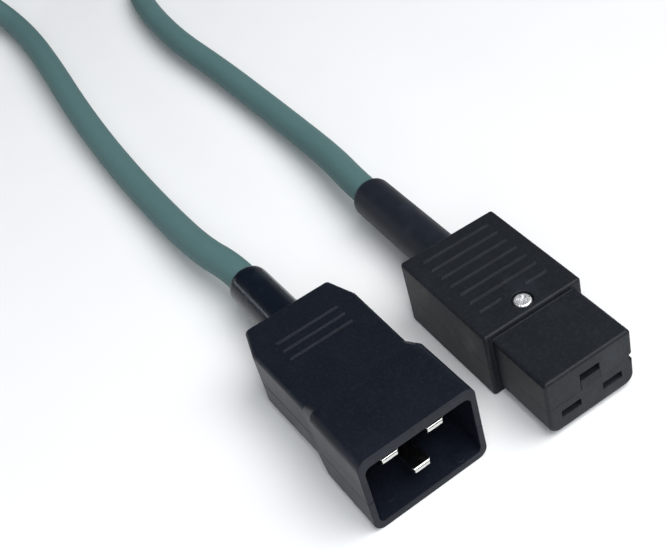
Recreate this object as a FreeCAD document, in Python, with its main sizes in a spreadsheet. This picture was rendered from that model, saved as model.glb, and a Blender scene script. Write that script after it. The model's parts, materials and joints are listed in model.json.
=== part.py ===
"""C19 power connector on its lead: a two-shell rewireable connector, its round sheathed cord,
the put-away coil of that cord and the C20 plug at the far end.

Every piece is a separate solid.  Both housings are drawn in a frame of their own, with the
mating face at y = 0, the cord leaving along +Y and the surface they lie on at z = 0, and are
then set down where they lie.  The part stands on z = 0 under the middle of the connector.
"""
import FreeCAD, Part
import math
import os
import Sketcher

# name, value in millimetres (degrees for angles, "share" and "factor" are plain ratios)
SIZES = [
    # the pins and slots of the 16 A pattern
    ("pin_width", 5.0), ("pin_thickness", 2.0), ("pin_spacing", 13.0), ("earth_offset", 8.0),
    ("pin_tip_chamfer", 0.6),
    ("slot_width", 6.0), ("slot_height", 2.2),
    # small clearance between pieces that fit into each other
    ("fit_clearance", 0.05),
    # cord and its three cores
    ("cord_diameter", 9.0), ("core_diameter", 2.5), ("core_circle", 1.7), ("core_lead_share", 0.22),
    # connector nose
    ("nose_width", 26.7), ("nose_height", 18.0), ("nose_length", 20.5), ("nose_low_share", 0.41),
    ("nose_top_corner", 1.2), ("nose_low_corner", 3.0), ("nose_edge", 0.9), ("nose_wall", 2.4),
    ("line_row", 5.1), ("seam_over_line", 3.7),
    # connector block
    ("block_width", 30.6), ("block_length", 38.1), ("block_height", 20.9),
    ("block_corner", 0.9), ("block_edge", 0.8), ("room_corner", 1.0),
    ("side_wall", 1.6), ("roof", 1.8), ("shoulder_wall", 1.2), ("rear_wall", 2.0),
    ("rib_length", 21.6), ("rib_width", 0.7), ("rib_height", 0.45), ("rib_pitch", 4.2), ("rib_corner", 0.3),
    ("rib_setback", 4.5), ("split_rib_gap", 7.4), ("full_ribs", 6),
    ("pry_depth", 1.1), ("pry_height", 1.2), ("pry_length", 2.6),
    # housing screw, its boss and its nut
    ("screw_setback", 4.5), ("screw_diameter", 3.0), ("screw_head", 4.9), ("screw_head_height", 1.3),
    ("screw_recess", 5.9), ("screw_recess_depth", 1.4), ("screw_hole", 3.4), ("boss_diameter", 6.4),
    ("boss_root", 0.4),
    ("nut_flats", 5.5), ("nut_height", 2.4), ("nut_pocket", 3.0), ("nut_boss", 8.8),
    # cross slots of every screw head, as shares of its head and its height
    ("slot_reach_share", 0.32), ("slot_half_width_share", 0.07), ("slot_depth_share", 0.5),
    # female contacts and their terminals
    ("contact_width", 6.2), ("contact_height", 4.0), ("contact_length", 13.0), ("contact_play", 0.1),
    ("contact_strip", 0.8), ("terminal_length", 8.0), ("terminal_height", 4.2), ("terminal_bore_share", 0.8),
    ("line_terminal_start", 25.0), ("earth_terminal_start", 24.0), ("earth_terminal_side", 7.9),
    ("earth_terminal_headroom", 1.3), ("earth_strip_length", 5.6),
    ("terminal_screw", 2.4), ("terminal_head", 3.8), ("terminal_head_height", 1.3),
    ("insulator_width", 19.6),
    # cord clamp
    ("clamp_setback", 7.6), ("clamp_length", 6.0), ("clamp_headroom", 1.7), ("clamp_gap", 0.8),
    ("clamp_screw_side", 8.6), ("clamp_screw", 2.4), ("clamp_screw_stop", 1.0), ("clamp_post", 4.4),
    ("clamp_bar_width", 22.4), ("clamp_head", 4.0), ("clamp_head_height", 1.2), ("saddle_width", 11.6),
    ("sheath_lead", 1.6),
    # bend-protecting boots
    ("boot_bore_play", 0.1), ("boot_flange_length", 1.5), ("boot_end_round", 0.8), ("boot_end_share", 0.3),
    ("boot_diameter", 13.0), ("boot_end_diameter", 12.6), ("boot_length", 43.6), ("boot_flange", 15.2),
    ("plug_boot_diameter", 12.6), ("plug_boot_end_diameter", 12.0), ("plug_boot_length", 27.6),
    ("plug_boot_flange", 14.2),
    # plug hood, which takes a connector's nose, and its cavity
    ("nose_side_play", 1.5), ("nose_height_play", 0.8), ("hood_side", 1.7), ("hood_floor", 2.0),
    ("hood_roof", 3.0), ("hood_length", 20.4), ("hood_corner", 2.8),
    ("cavity_depth", 21.0), ("cavity_corner", 1.9),
    # plug body
    ("waist_start", 26.9), ("waist_width", 30.6), ("belly_start", 50.6), ("belly_width", 31.4),
    ("tail_width", 26.1), ("plug_length", 59.4), ("body_corner", 1.4),
    ("body_floor", 2.6), ("plug_wall", 1.8), ("plug_seam", 10.6),
    # pins and the block that carries them
    ("plug_line_row", 15.3), ("pin_setback", 3.8), ("earth_pin_setback", 2.3),
    ("plug_terminal_headroom", 0.3),
    ("carrier_width", 25.6), ("carrier_length", 6.0), ("carrier_corner", 0.5),
    ("carrier_lip", 1.5), ("carrier_lip_depth", 1.6),
    ("chamber_end", 47.0), ("tail_chamber_width", 19.0),
    ("plug_rib_length", 18.8), ("plug_rib_start", 49.3), ("plug_rib_pitch", 3.55), ("plug_ribs", 3),
    ("plug_clamp_setback", 8.0), ("plug_clamp_length", 5.0), ("plug_clamp_screw_side", 7.0),
    ("plug_clamp_post", 3.8), ("plug_clamp_bar_width", 18.0), ("plug_saddle_width", 9.6),
    ("plug_clamp_headroom", 1.2), ("plug_clamp_screw_stop", 0.6),
    ("plug_screw_side", 10.3), ("plug_screw_place", 43.0), ("plug_screw_boss", 6.0),
    ("plug_screw_diameter", 2.6), ("plug_screw_head", 4.4), ("plug_screw_recess", 4.9),
    ("plug_screw_recess_depth", 2.2), ("plug_screw_share", 0.7), ("plug_thread_share", 0.8),
    # where the two ends lie
    ("plug_x", -43.7), ("plug_y", -44.0), ("plug_yaw", 1.85),
    # the put-away coil: two by two turns with a half turn on top, and its tie
    ("coil_x", -12.5), ("coil_y", 372.0), ("coil_mean_diameter", 95.4), ("coil_lead", 33.0),
    ("turn_pitch", 9.1), ("coil_turns", 4.5), ("coil_arc", 270.0), ("nest_rise", 8.0),
    ("coil_rim", 4.0), ("tie_width", 12.0), ("tie_thickness", 1.0), ("tie_play", 0.6),
]
# where the free cord passes, as it happens to lie: x, y, z from each boot to the coil
CONNECTOR_ROUTE = [(1.7, 76.0, 8.9), (2.2, 97.0, 7.5), (2.2, 124.0, 6.3), (0.8, 158.0, 6.9),
                   (-2.6, 197.0, 7.9), (2.0, 244.0, 6.2), (15.5, 269.5, 5.2), (30.2, 292.5, 4.9)]
PLUG_ROUTE = [(-49.9, 68.0, 9.2), (-50.7, 100.0, 6.7), (-50.9, 137.0, 6.2), (-49.7, 174.0, 7.4),
              (-46.6, 212.0, 8.4), (-44.8, 244.0, 7.5), (-48.0, 270.0, 9.0), (-55.2, 294.0, 15.0)]
CONNECTOR_LEADS, PLUG_LEADS = (0.0, 10.0), (0.0, 9.0)
COIL_APPROACH = 23.0
CORE_TURNS = {"line": 210, "neutral": 330, "earth": 90}
PLUG_CORE_TURNS = {"line": 150, "neutral": 30, "earth": 270}

SHEET = "Dimensions"
AXES = {"x": FreeCAD.Vector(1, 0, 0), "y": FreeCAD.Vector(0, 1, 0), "z": FreeCAD.Vector(0, 0, 1)}
ROOT_THREE = math.sqrt(3.0)
ARC_SHARE = 0.45
SWEEP_TOLERANCE = 0.01
LEAST_CUT = 0.01
FULL_CIRCLE, HALF_CIRCLE = 360, 180


class Size:
    """A number together with the sheet expression that gives it."""

    def __init__(self, value, text):
        self.value = float(value)
        self.text = text

    def joined(self, other, sign, value):
        return Size(value, "(%s %s %s)" % (self.text, sign, size(other).text))

    def __add__(self, other):
        return self.joined(other, "+", self.value + size(other).value)

    def __sub__(self, other):
        return self.joined(other, "-", self.value - size(other).value)

    def __mul__(self, other):
        return self.joined(other, "*", self.value * size(other).value)

    def __truediv__(self, other):
        return self.joined(other, "/", self.value / size(other).value)

    def __neg__(self):
        return Size(-self.value, "(0 - %s)" % self.text)


def size(number):
    return number if isinstance(number, Size) else Size(number, repr(float(number)))


def make_sheet(doc):
    """Writes the driving sizes into the sheet and gives them back by name."""
    sheet = doc.addObject("Spreadsheet::Sheet", SHEET)
    for row, (name, value) in enumerate(SIZES, start=1):
        sheet.set("A%d" % row, name)
        sheet.set("B%d" % row, str(value))
        sheet.setAlias("B%d" % row, name)
    doc.recompute()
    return type("Named", (), {name: Size(value, "%s.%s" % (SHEET, name)) for name, value in SIZES})


doc = FreeCAD.newDocument("PowerLead")
d = make_sheet(doc)
pieces = []


def bind(thing, path, value):
    thing.setExpression(path, size(value).text)


# ---------------------------------------------------------------- sketches and features

def axis_of(body, role):
    """One of the body's own axes or planes."""
    return next(item for item in body.Origin.OriginFeatures if item.Role == role)


def sketch_in(body, role, offset):
    sketch = body.newObject("Sketcher::SketchObject", body.Name + "_sketch")
    sketch.AttachmentSupport = [(axis_of(body, role), "")]
    sketch.MapMode = "FlatFace"
    bind(sketch, "AttachmentOffset.Base.z", offset)
    return sketch


def plan(body, z):
    """A sketch seen from above, at height z."""
    return sketch_in(body, "XY_Plane", z)


def section(body, y):
    """A sketch across the housing, with x to the right and z up, at distance y from the face."""
    return sketch_in(body, "XZ_Plane", -size(y))


def datum(sketch, kind, geometry, point, value):
    value = size(value)
    index = sketch.addConstraint(Sketcher.Constraint(kind, -1, 1, geometry, point, value.value))
    bind(sketch, "Constraints[%d]" % index, value)


def outline(sketch, corners):
    """A closed outline through corners (x, y, radius), counterclockwise; radius 0 is a sharp corner.

    Sides next to a rounded corner run along x or y.
    """
    corners = [(size(x), size(y), size(r)) for x, y, r in corners]
    count = len(corners)
    spots = [FreeCAD.Vector(x.value, y.value, 0) for x, y, r in corners]
    ways = [(spots[(i + 1) % count] - spots[i]).normalize() for i in range(count)]
    sides = []
    for i in range(count):
        start = spots[i] + ways[i] * corners[i][2].value
        end = spots[(i + 1) % count] - ways[i] * corners[(i + 1) % count][2].value
        sides.append(sketch.addGeometry(Part.LineSegment(start, end), False))
    for i, (x, y, radius) in enumerate(corners):
        before, after = sides[i - 1], sides[i]
        if radius.value == 0:
            sketch.addConstraint(Sketcher.Constraint("Coincident", before, 2, after, 1))
            datum(sketch, "DistanceX", after, 1, x)
            datum(sketch, "DistanceY", after, 1, y)
            continue
        middle = spots[i] - ways[i - 1] * radius.value + ways[i] * radius.value
        first = math.atan2(-ways[i].y, -ways[i].x)
        last = math.atan2(ways[i - 1].y, ways[i - 1].x)
        ring = Part.Circle(middle, AXES["z"], radius.value)
        arc = sketch.addGeometry(Part.ArcOfCircle(ring, first, last), False)
        sketch.addConstraint(Sketcher.Constraint("Tangent", before, 2, arc, 1))
        sketch.addConstraint(Sketcher.Constraint("Tangent", arc, 2, after, 1))
        index = sketch.addConstraint(Sketcher.Constraint("Radius", arc, radius.value))
        bind(sketch, "Constraints[%d]" % index, radius)
    for i, side in enumerate(sides):
        here, there = corners[i], corners[(i + 1) % count]
        if here[2].value == 0 and there[2].value == 0:
            continue
        level = abs(ways[i].y) < abs(ways[i].x)
        sketch.addConstraint(Sketcher.Constraint("Horizontal" if level else "Vertical", side))
        if here[2].value > 0 and there[2].value > 0:
            datum(sketch, "DistanceY" if level else "DistanceX", side, 1, here[1] if level else here[0])


def rectangle(sketch, left, low, right, high, radius=0):
    outline(sketch, [(left, low, radius), (right, low, radius), (right, high, radius), (left, high, radius)])


def half_outline(sketch, half_width, seam, far, radius):
    """One shell's share of a rounded rectangle: flat at the seam, two rounded corners far from it."""
    if size(far).value > size(seam).value:
        rectangle_corners = [(-half_width, seam, 0), (half_width, seam, 0),
                             (half_width, far, radius), (-half_width, far, radius)]
    else:
        rectangle_corners = [(half_width, seam, 0), (-half_width, seam, 0),
                             (-half_width, far, radius), (half_width, far, radius)]
    outline(sketch, rectangle_corners)


def circle(sketch, x, y, diameter):
    x, y, radius = size(x), size(y), size(diameter) / 2
    shape = Part.Circle(FreeCAD.Vector(x.value, y.value, 0), AXES["z"], radius.value)
    ring = sketch.addGeometry(shape, False)
    datum(sketch, "DistanceX", ring, 3, x)
    datum(sketch, "DistanceY", ring, 3, y)
    index = sketch.addConstraint(Sketcher.Constraint("Radius", ring, radius.value))
    bind(sketch, "Constraints[%d]" % index, radius)


def new_body(name):
    body = doc.addObject("PartDesign::Body", name)
    body.Label = name
    return body


def feature(body, kind, sketch, length, reverse):
    made = body.newObject("PartDesign::" + kind, "%s_%s" % (body.Name, kind))
    made.Profile = sketch
    bind(made, "Length", length)
    made.Reversed = reverse
    return made


def pad_up(body, sketch, length):
    return feature(body, "Pad", sketch, length, False)


def pad_back(body, sketch, length):
    """From a section towards the cord."""
    return feature(body, "Pad", sketch, length, True)


def pocket(body, sketch, length):
    """Down from a plan, or from a section towards the cord."""
    return feature(body, "Pocket", sketch, length, False)


def pocket_up(body, sketch, length):
    return feature(body, "Pocket", sketch, length, True)


def dress(body, kind, base, chosen, amount):
    """Rounds or bevels the edges of base that the test chooses."""
    doc.recompute()
    names = ["Edge%d" % (i + 1) for i, edge in enumerate(base.Shape.Edges) if chosen(edge.BoundBox)]
    made = body.newObject("PartDesign::" + kind, "%s_%s" % (body.Name, kind))
    made.Base = (base, names)
    bind(made, "Radius" if kind == "Fillet" else "Size", amount)
    return made


def level_with(box, axis, value, slack=1e-4):
    low, high = {"y": (box.YMin, box.YMax), "z": (box.ZMin, box.ZMax)}[axis]
    return abs(low - value.value) < slack and abs(high - value.value) < slack


# ---------------------------------------------------------------- primitives

def box(x0, x1, y0, y1, z0, z1):
    made = doc.addObject("Part::Box", "Box")
    for side, low, high in (("Length", x0, x1), ("Width", y0, y1), ("Height", z0, z1)):
        bind(made, side, size(high) - low)
    for axis, low in (("x", x0), ("y", y0), ("z", z0)):
        bind(made, "Placement.Base." + axis, low)
    return made


def upright(x, y, z0, z1, diameter):
    """A round pin standing along z."""
    made = doc.addObject("Part::Cylinder", "Pin")
    bind(made, "Radius", size(diameter) / 2)
    bind(made, "Height", size(z1) - z0)
    for axis, value in (("x", x), ("y", y), ("z", z0)):
        bind(made, "Placement.Base." + axis, value)
    return made


def lengthwise(x, z, y0, y1, diameter):
    """A round bar lying along y."""
    made = doc.addObject("Part::Cylinder", "Bar")
    made.Placement.Rotation = FreeCAD.Rotation(AXES["x"], -90)
    bind(made, "Radius", size(diameter) / 2)
    bind(made, "Height", size(y1) - y0)
    for axis, value in (("x", x), ("y", y0), ("z", z)):
        bind(made, "Placement.Base." + axis, value)
    return made


def fuse(*shapes):
    made = doc.addObject("Part::MultiFuse", "Joined")
    made.Shapes = list(shapes)
    made.Refine = True
    return made


def cut(base, *tools):
    for tool in tools:
        made = doc.addObject("Part::Cut", "Cut")
        made.Base = base
        made.Tool = tool
        base = made
    return base


def group(shapes):
    made = doc.addObject("Part::Compound", "Group")
    made.Links = list(shapes)
    return made


def solid_feature(shape):
    made = doc.addObject("Part::Feature", "Solid")
    made.Shape = shape
    return made


def keep(piece, name, frame):
    """Names a finished sub-part and sets it down in its frame."""
    piece.Label = name
    piece.Placement = frame
    pieces.append(piece)
    return piece


def screw(x, y, seat, tip, shank, head, head_height, slot_turn=45):
    """A pan-head screw along z with a cross slot; seat is under the head and tip is the far end."""
    seat, tip = size(seat), size(tip)
    upwards = tip.value > seat.value
    top = seat - head_height if upwards else seat + head_height
    slot_depth = size(head_height) * d.slot_depth_share
    slot_floor = top + slot_depth if upwards else top - slot_depth
    low, high = (seat, tip) if upwards else (tip, seat)
    shapes = [upright(x, y, low, high, shank)]
    shapes.append(upright(x, y, top if upwards else seat, seat if upwards else top, head))
    arm = size(head) * d.slot_reach_share
    half_slot = size(head) * d.slot_half_width_share
    floor_low, floor_high = (top, slot_floor) if upwards else (slot_floor, top)
    slots = []
    for turn in (slot_turn, slot_turn + 90):
        slot = doc.addObject("Part::Box", "Slot")
        bind(slot, "Length", arm * 2)
        bind(slot, "Width", half_slot * 2)
        bind(slot, "Height", floor_high - floor_low)
        turned = FreeCAD.Rotation(AXES["z"], turn)
        start = turned.multVec(FreeCAD.Vector(-arm.value, -half_slot.value, 0))
        slot.Placement.Rotation = turned
        for axis, value, shift in (("x", x, start.x), ("y", y, start.y), ("z", floor_low, 0.0)):
            bind(slot, "Placement.Base." + axis, size(value) + shift)
        slots.append(slot)
    return cut(fuse(*shapes), *slots)


# ---------------------------------------------------------------- routes

def rounded_route(points):
    """Straight runs joined by tangent arcs, each as large as ARC_SHARE of its shorter run allows."""
    points = [FreeCAD.Vector(*point) for point in points]
    edges, radii = [], []
    here = points[0]
    for before, corner, after in zip(points, points[1:], points[2:]):
        way_in, way_out = (corner - before).normalize(), (after - corner).normalize()
        half_turn = way_in.getAngle(way_out) / 2
        reach = ARC_SHARE * min(corner.distanceToPoint(before), corner.distanceToPoint(after))
        arc_start, arc_end = corner - way_in * reach, corner + way_out * reach
        radius = reach / math.tan(half_turn)
        inward = (way_out - way_in).normalize()
        crown = corner + inward * (radius / math.cos(half_turn) - radius)
        edges.append(Part.LineSegment(here, arc_start).toShape())
        edges.append(Part.Arc(arc_start, crown, arc_end).toShape())
        radii.append(radius)
        here = arc_end
    edges.append(Part.LineSegment(here, points[-1]).toShape())
    return Part.Wire(edges), radii


def tube(points, diameter, title):
    """A round solid along a rounded route, with its volume checked against section times length."""
    route, radii = rounded_route(points)
    way = (FreeCAD.Vector(*points[1]) - FreeCAD.Vector(*points[0])).normalize()
    ring = Part.Wire([Part.Circle(FreeCAD.Vector(*points[0]), way, diameter / 2).toShape()])
    shape = route.makePipeShell([ring], True, True)
    expected = math.pi * diameter ** 2 / 4 * route.Length
    if not shape.isValid() or abs(shape.Volume / expected - 1) > SWEEP_TOLERANCE:
        raise ValueError("%s does not sweep cleanly" % title)
    print("%-16s length %7.1f  smallest radius %6.1f  all %s"
          % (title, route.Length, min(radii), " ".join("%.0f" % r for r in radii)))
    return shape, route.Length


# ---------------------------------------------------------------- frames

connector_end = d.nose_length + d.block_length + d.boot_length
connector_frame = FreeCAD.Placement(FreeCAD.Vector(0, -connector_end.value / 2, 0), FreeCAD.Rotation())
plug_end = d.plug_length + d.plug_boot_length
plug_frame = FreeCAD.Placement(
    FreeCAD.Vector(d.plug_x.value, d.plug_y.value, 0), FreeCAD.Rotation(d.plug_yaw.value, 0, 0))
coil_frame = FreeCAD.Placement(FreeCAD.Vector(d.coil_x.value, d.coil_y.value, 0), FreeCAD.Rotation())

# ---------------------------------------------------------------- shared places

block_front = d.nose_length
block_rear = block_front + d.block_length
nose_lift = (d.block_height - d.nose_height) * d.nose_low_share
nose_top = nose_lift + d.nose_height
line_height = nose_lift + d.line_row
earth_height = line_height + d.earth_offset
seam = line_height + d.seam_over_line
cavity_start = block_front + d.shoulder_wall
cavity_end = block_rear - d.rear_wall
ceiling = d.block_height - d.roof
screw_place = block_front + d.screw_setback
contact_start = d.nose_wall + d.fit_clearance
line_contact_floor = line_height - d.contact_height / 2
earth_contact_floor = earth_height - d.contact_height / 2
earth_terminal_height = ceiling - d.earth_terminal_headroom - d.terminal_head_height - earth_contact_floor
clamp_middle = block_rear - d.clamp_setback
clamp_seat = seam + d.clamp_gap
clamp_height = ceiling - d.clamp_headroom - d.clamp_head_height - clamp_seat
sheath_start = clamp_middle - d.clamp_length / 2 - d.sheath_lead

cavity_width = d.nose_width + d.nose_side_play * 2
cavity_top = d.hood_floor + d.nose_height + d.nose_height_play * 2
hood_width = cavity_width + d.hood_side * 2
hood_height = cavity_top + d.hood_roof
plug_earth_row = d.plug_line_row - d.earth_offset
chamber_start = d.cavity_depth + d.carrier_lip_depth
chamber_low = d.body_floor + d.plug_wall
chamber_high = d.plug_line_row + d.terminal_height / 2 + d.terminal_head_height + d.plug_terminal_headroom
body_top = chamber_high + d.plug_wall
plug_terminal_start = chamber_start + d.carrier_length
plug_clamp_middle = d.plug_length - d.plug_clamp_setback
plug_clamp_seat = d.plug_seam + d.clamp_gap
plug_clamp_height = chamber_high - d.plug_clamp_headroom - d.clamp_head_height - plug_clamp_seat
plug_sheath_start = plug_clamp_middle - d.plug_clamp_length / 2 - d.sheath_lead
plug_tail_wall = d.plug_length - d.rear_wall
terminal_bore = d.core_diameter * d.terminal_bore_share
through = d.fit_clearance * 2


def drill(body, base_length, y, x, z, diameter):
    """A round hole across a wall, from a section towards the cord."""
    sketch = section(body, y)
    circle(sketch, x, z, diameter)
    pocket(body, sketch, base_length)


# ---------------------------------------------------------------- connector shells

def block_half(body, low, high, edge_height):
    half = d.block_width / 2
    sketch = plan(body, low)
    rectangle(sketch, -half, block_front, half, block_rear, d.block_corner)
    pad = pad_up(body, sketch, high - low)
    dress(body, "Fillet", pad, lambda box: level_with(box, "z", edge_height), d.block_edge)


def nose_half(body, far, corner):
    sketch = section(body, 0)
    half_outline(sketch, d.nose_width / 2, seam, far, corner)
    pad = pad_back(body, sketch, block_front + d.shoulder_wall / 2)

    def front_edge(box):
        at_seam = level_with(box, "z", seam)
        return level_with(box, "y", size(0)) and not at_seam
    dress(body, "Fillet", pad, front_edge, d.nose_edge)


def pry_notch(body, high, low):
    """A small notch at the seam, on one flank of the nose, for opening the shells."""
    sketch = section(body, 0)
    half = d.nose_width / 2
    rectangle(sketch, half - d.pry_depth, low, half + d.pry_depth, high)
    pocket(body, sketch, d.pry_length)


def rib(body, left, right, y, z):
    """A low rib across the top, with rounded ends."""
    sketch = plan(body, z)
    half_width = d.rib_width / 2
    rectangle(sketch, left, y - half_width, right, y + half_width, d.rib_corner)
    return pad_up(body, sketch, d.rib_height)


def rib_rows(body, half_length, first, z, pitch, count):
    """Ribs at even pitch, from the first one towards the mating face."""
    first_rib = rib(body, -half_length, half_length, first, z)
    rows = body.newObject("PartDesign::LinearPattern", body.Name + "_rib_rows")
    rows.Originals = [first_rib]
    rows.Direction = (axis_of(body, "Y_Axis"), [""])
    rows.Reversed = True
    bind(rows, "Length", pitch * (count - 1))
    bind(rows, "Occurrences", count)
    body.Tip = rows


def connector_upper_shell():
    body = new_body("c19_upper_shell")
    block_half(body, seam, d.block_height, d.block_height)
    nose_half(body, nose_top, d.nose_top_corner)

    first_rib = block_rear - d.rib_setback
    half_rib = d.rib_length / 2
    rib_rows(body, half_rib, first_rib, d.block_height, d.rib_pitch, d.full_ribs)
    split_row = first_rib - d.rib_pitch * d.full_ribs
    half_gap = d.split_rib_gap / 2
    rib(body, -half_rib, -half_gap, split_row, d.block_height)
    rib(body, half_gap, half_rib, split_row, d.block_height)

    room = plan(body, seam)
    half_room = d.block_width / 2 - d.side_wall
    rectangle(room, -half_room, cavity_start, half_room, cavity_end, d.room_corner)
    pocket_up(body, room, ceiling - seam)

    boss = plan(body, seam)
    circle(boss, 0, screw_place, d.boss_diameter)
    pad_up(body, boss, ceiling - seam + d.boss_root)
    hole = plan(body, seam)
    circle(hole, 0, screw_place, d.screw_hole)
    pocket_up(body, hole, d.block_height - seam)
    recess = plan(body, d.block_height)
    circle(recess, 0, screw_place, d.screw_recess)
    pocket(body, recess, d.screw_recess_depth)

    # room for the insulator, the earth contact above it and the contact's tail
    seat = plan(body, seam)
    half_seat = d.insulator_width / 2 + d.fit_clearance
    rectangle(seat, -half_seat, d.nose_wall, half_seat, cavity_start)
    pocket_up(body, seat, earth_contact_floor - seam)
    channel = plan(body, earth_contact_floor)
    half_channel = d.contact_width / 2 + d.contact_play
    rectangle(channel, -half_channel, d.nose_wall, half_channel, cavity_start)
    pocket_up(body, channel, d.contact_height + d.contact_play)
    tail = plan(body, earth_contact_floor)
    tail_side = d.earth_terminal_side + half_channel
    rectangle(tail, -half_channel, contact_start + d.contact_length, tail_side, cavity_start)
    pocket_up(body, tail, d.contact_strip + d.contact_play)

    # the earth slot is the upper end of a notch that the insulator's tongue fills below
    notch = section(body, 0)
    half_slot = d.slot_width / 2
    rectangle(notch, -half_slot, seam, half_slot, earth_height + d.slot_height / 2)
    pocket(body, notch, d.nose_wall)
    pry_notch(body, seam + d.pry_height, seam)
    drill(body, d.rear_wall, cavity_end, 0, seam, d.boot_diameter + through)
    return keep(body, body.Name, connector_frame)


def clamp_posts(body, middle, floor, top, side, post):
    """Two screw posts with their holes, on the floor of a lower shell."""
    for way in (-1, 1):
        stand = plan(body, floor)
        circle(stand, side * way, middle, post)
        pad_up(body, stand, top - floor)
        hole = plan(body, top)
        circle(hole, side * way, middle, d.clamp_screw + through)
        pocket(body, hole, top - floor)


def clamp_saddle(body, middle, floor, axis_height, width, length):
    """The block under the cord, hollowed to its round."""
    half = width / 2
    rest = plan(body, floor)
    rectangle(rest, -half, middle - length / 2, half, middle + length / 2)
    pad_up(body, rest, axis_height - floor)
    drill(body, length, middle - length / 2, 0, axis_height, d.cord_diameter + through)


def connector_lower_shell():
    body = new_body("c19_lower_shell")
    block_half(body, size(0), seam, size(0))
    nose_half(body, nose_lift, d.nose_low_corner)

    room = plan(body, seam)
    half_room = d.block_width / 2 - d.side_wall
    rectangle(room, -half_room, cavity_start, half_room, cavity_end, d.room_corner)
    pocket(body, room, seam - d.side_wall)
    for side in (-1, 1):
        channel = plan(body, seam)
        middle = d.pin_spacing / 2 * side
        half_channel = d.contact_width / 2 + d.contact_play
        rectangle(channel, middle - half_channel, d.nose_wall, middle + half_channel, cavity_start)
        pocket(body, channel, seam - line_contact_floor)
        slot = section(body, 0)
        half_slot = d.slot_width / 2
        rectangle(slot, middle - half_slot, line_height - d.slot_height / 2,
                  middle + half_slot, line_height + d.slot_height / 2)
        pocket(body, slot, d.nose_wall)
    pry_notch(body, seam, seam - d.pry_height)

    low_boss = plan(body, d.side_wall / 2)
    circle(low_boss, 0, screw_place, d.nut_boss)
    pad_up(body, low_boss, line_contact_floor - d.fit_clearance - d.side_wall / 2)
    boss = plan(body, d.side_wall)
    circle(boss, 0, screw_place, d.boss_diameter)
    pad_up(body, boss, seam - d.side_wall)
    hole = plan(body, seam)
    circle(hole, 0, screw_place, d.screw_hole)
    pocket(body, hole, seam)
    nut_seat = plan(body, 0)
    reach = d.nut_flats / 2 + d.fit_clearance
    tall, short = reach * (2 / ROOT_THREE), reach / ROOT_THREE
    outline(nut_seat, [(reach, screw_place - short, 0), (reach, screw_place + short, 0),
                       (size(0), screw_place + tall, 0), (-reach, screw_place + short, 0),
                       (-reach, screw_place - short, 0), (size(0), screw_place - tall, 0)])
    pocket_up(body, nut_seat, d.nut_pocket)

    clamp_posts(body, clamp_middle, d.side_wall, clamp_seat, d.clamp_screw_side, d.clamp_post)
    clamp_saddle(body, clamp_middle, d.side_wall, seam, d.saddle_width, d.clamp_length)
    drill(body, d.rear_wall, cavity_end, 0, seam, d.boot_diameter + through)
    return keep(body, body.Name, connector_frame)


def insulator():
    """The plate between the line contacts and the earth contact, with a tongue to the nose face."""
    half = d.insulator_width / 2
    half_tongue = d.slot_width / 2 - d.fit_clearance
    plate = box(-half, half, d.nose_wall, cavity_start - d.fit_clearance, seam, earth_contact_floor)
    tongue_top = earth_height - d.slot_height / 2
    tongue = box(-half_tongue, half_tongue, 0, d.nose_wall, seam, tongue_top)
    return keep(fuse(plate, tongue), "c19_insulator", connector_frame)


def socket(middle, floor):
    """A folded sleeve that grips one pin."""
    half = d.contact_width / 2
    sleeve = box(middle - half, middle + half, contact_start, contact_start + d.contact_length,
                 floor, floor + d.contact_height)
    grip = d.pin_width / 2 + d.contact_play
    centre = floor + d.contact_height / 2
    lift = d.pin_thickness / 2 + d.contact_play
    mouth = box(middle - grip, middle + grip, contact_start, contact_start + d.contact_length,
                centre - lift, centre + lift)
    return cut(sleeve, mouth)


def terminal(middle, start, floor, height):
    """A terminal block with a bore for its core and a hole for its screw."""
    half = d.contact_width / 2
    end = start + d.terminal_length
    block = box(middle - half, middle + half, start, end, floor, floor + height)
    centre = floor + height / 2
    bore = lengthwise(middle, centre, start + d.contact_strip, end, terminal_bore)
    hole = upright(middle, start + d.terminal_length / 2, centre, floor + height, d.terminal_screw + through)
    return cut(block, bore, hole)


def line_contact(name, side):
    middle = d.pin_spacing / 2 * side
    half = d.contact_width / 2
    strip = box(middle - half, middle + half, contact_start + d.contact_length, d.line_terminal_start,
                line_contact_floor, line_contact_floor + d.contact_strip)
    whole = fuse(socket(middle, line_contact_floor), strip,
                 terminal(middle, d.line_terminal_start, line_contact_floor, d.terminal_height))
    return keep(whole, name, connector_frame)


def earth_contact():
    half = d.contact_width / 2
    socket_end = contact_start + d.contact_length
    strip_top = earth_contact_floor + d.contact_strip
    tail_left = d.earth_terminal_side - half
    across = box(-half, d.earth_terminal_side + half, socket_end, socket_end + d.earth_strip_length,
                 earth_contact_floor, strip_top)
    back = box(tail_left, d.earth_terminal_side + half, socket_end + d.earth_strip_length,
               d.earth_terminal_start, earth_contact_floor, strip_top)
    whole = fuse(socket(size(0), earth_contact_floor), across, back,
                 terminal(d.earth_terminal_side, d.earth_terminal_start, earth_contact_floor,
                          earth_terminal_height))
    return keep(whole, "c19_earth_contact", connector_frame)


def terminal_screws(name, places, frame):
    """The screws that press the cores, each seated on its terminal and ending at the bore."""
    screws = []
    for x, start, floor, height in places:
        middle = start + d.terminal_length / 2
        tip = floor + height / 2 + terminal_bore / 2
        screws.append(screw(x, middle, floor + height, tip, d.terminal_screw, d.terminal_head,
                            d.terminal_head_height))
    return keep(group(screws), name, frame)


def clamp_bar(name, middle, seat, axis_height, width, length, height, screw_side, frame):
    """A bar over the sheath, arched to its round, with two screw holes."""
    half = width / 2
    bar = box(-half, half, middle - length / 2, middle + length / 2, seat, seat + height)
    arch = lengthwise(0, axis_height, middle - length / 2, middle + length / 2,
                      d.cord_diameter + through)
    holes = [upright(screw_side * side, middle, seat, seat + height, d.clamp_screw + through)
             for side in (-1, 1)]
    return keep(cut(bar, arch, *holes), name, frame)


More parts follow.
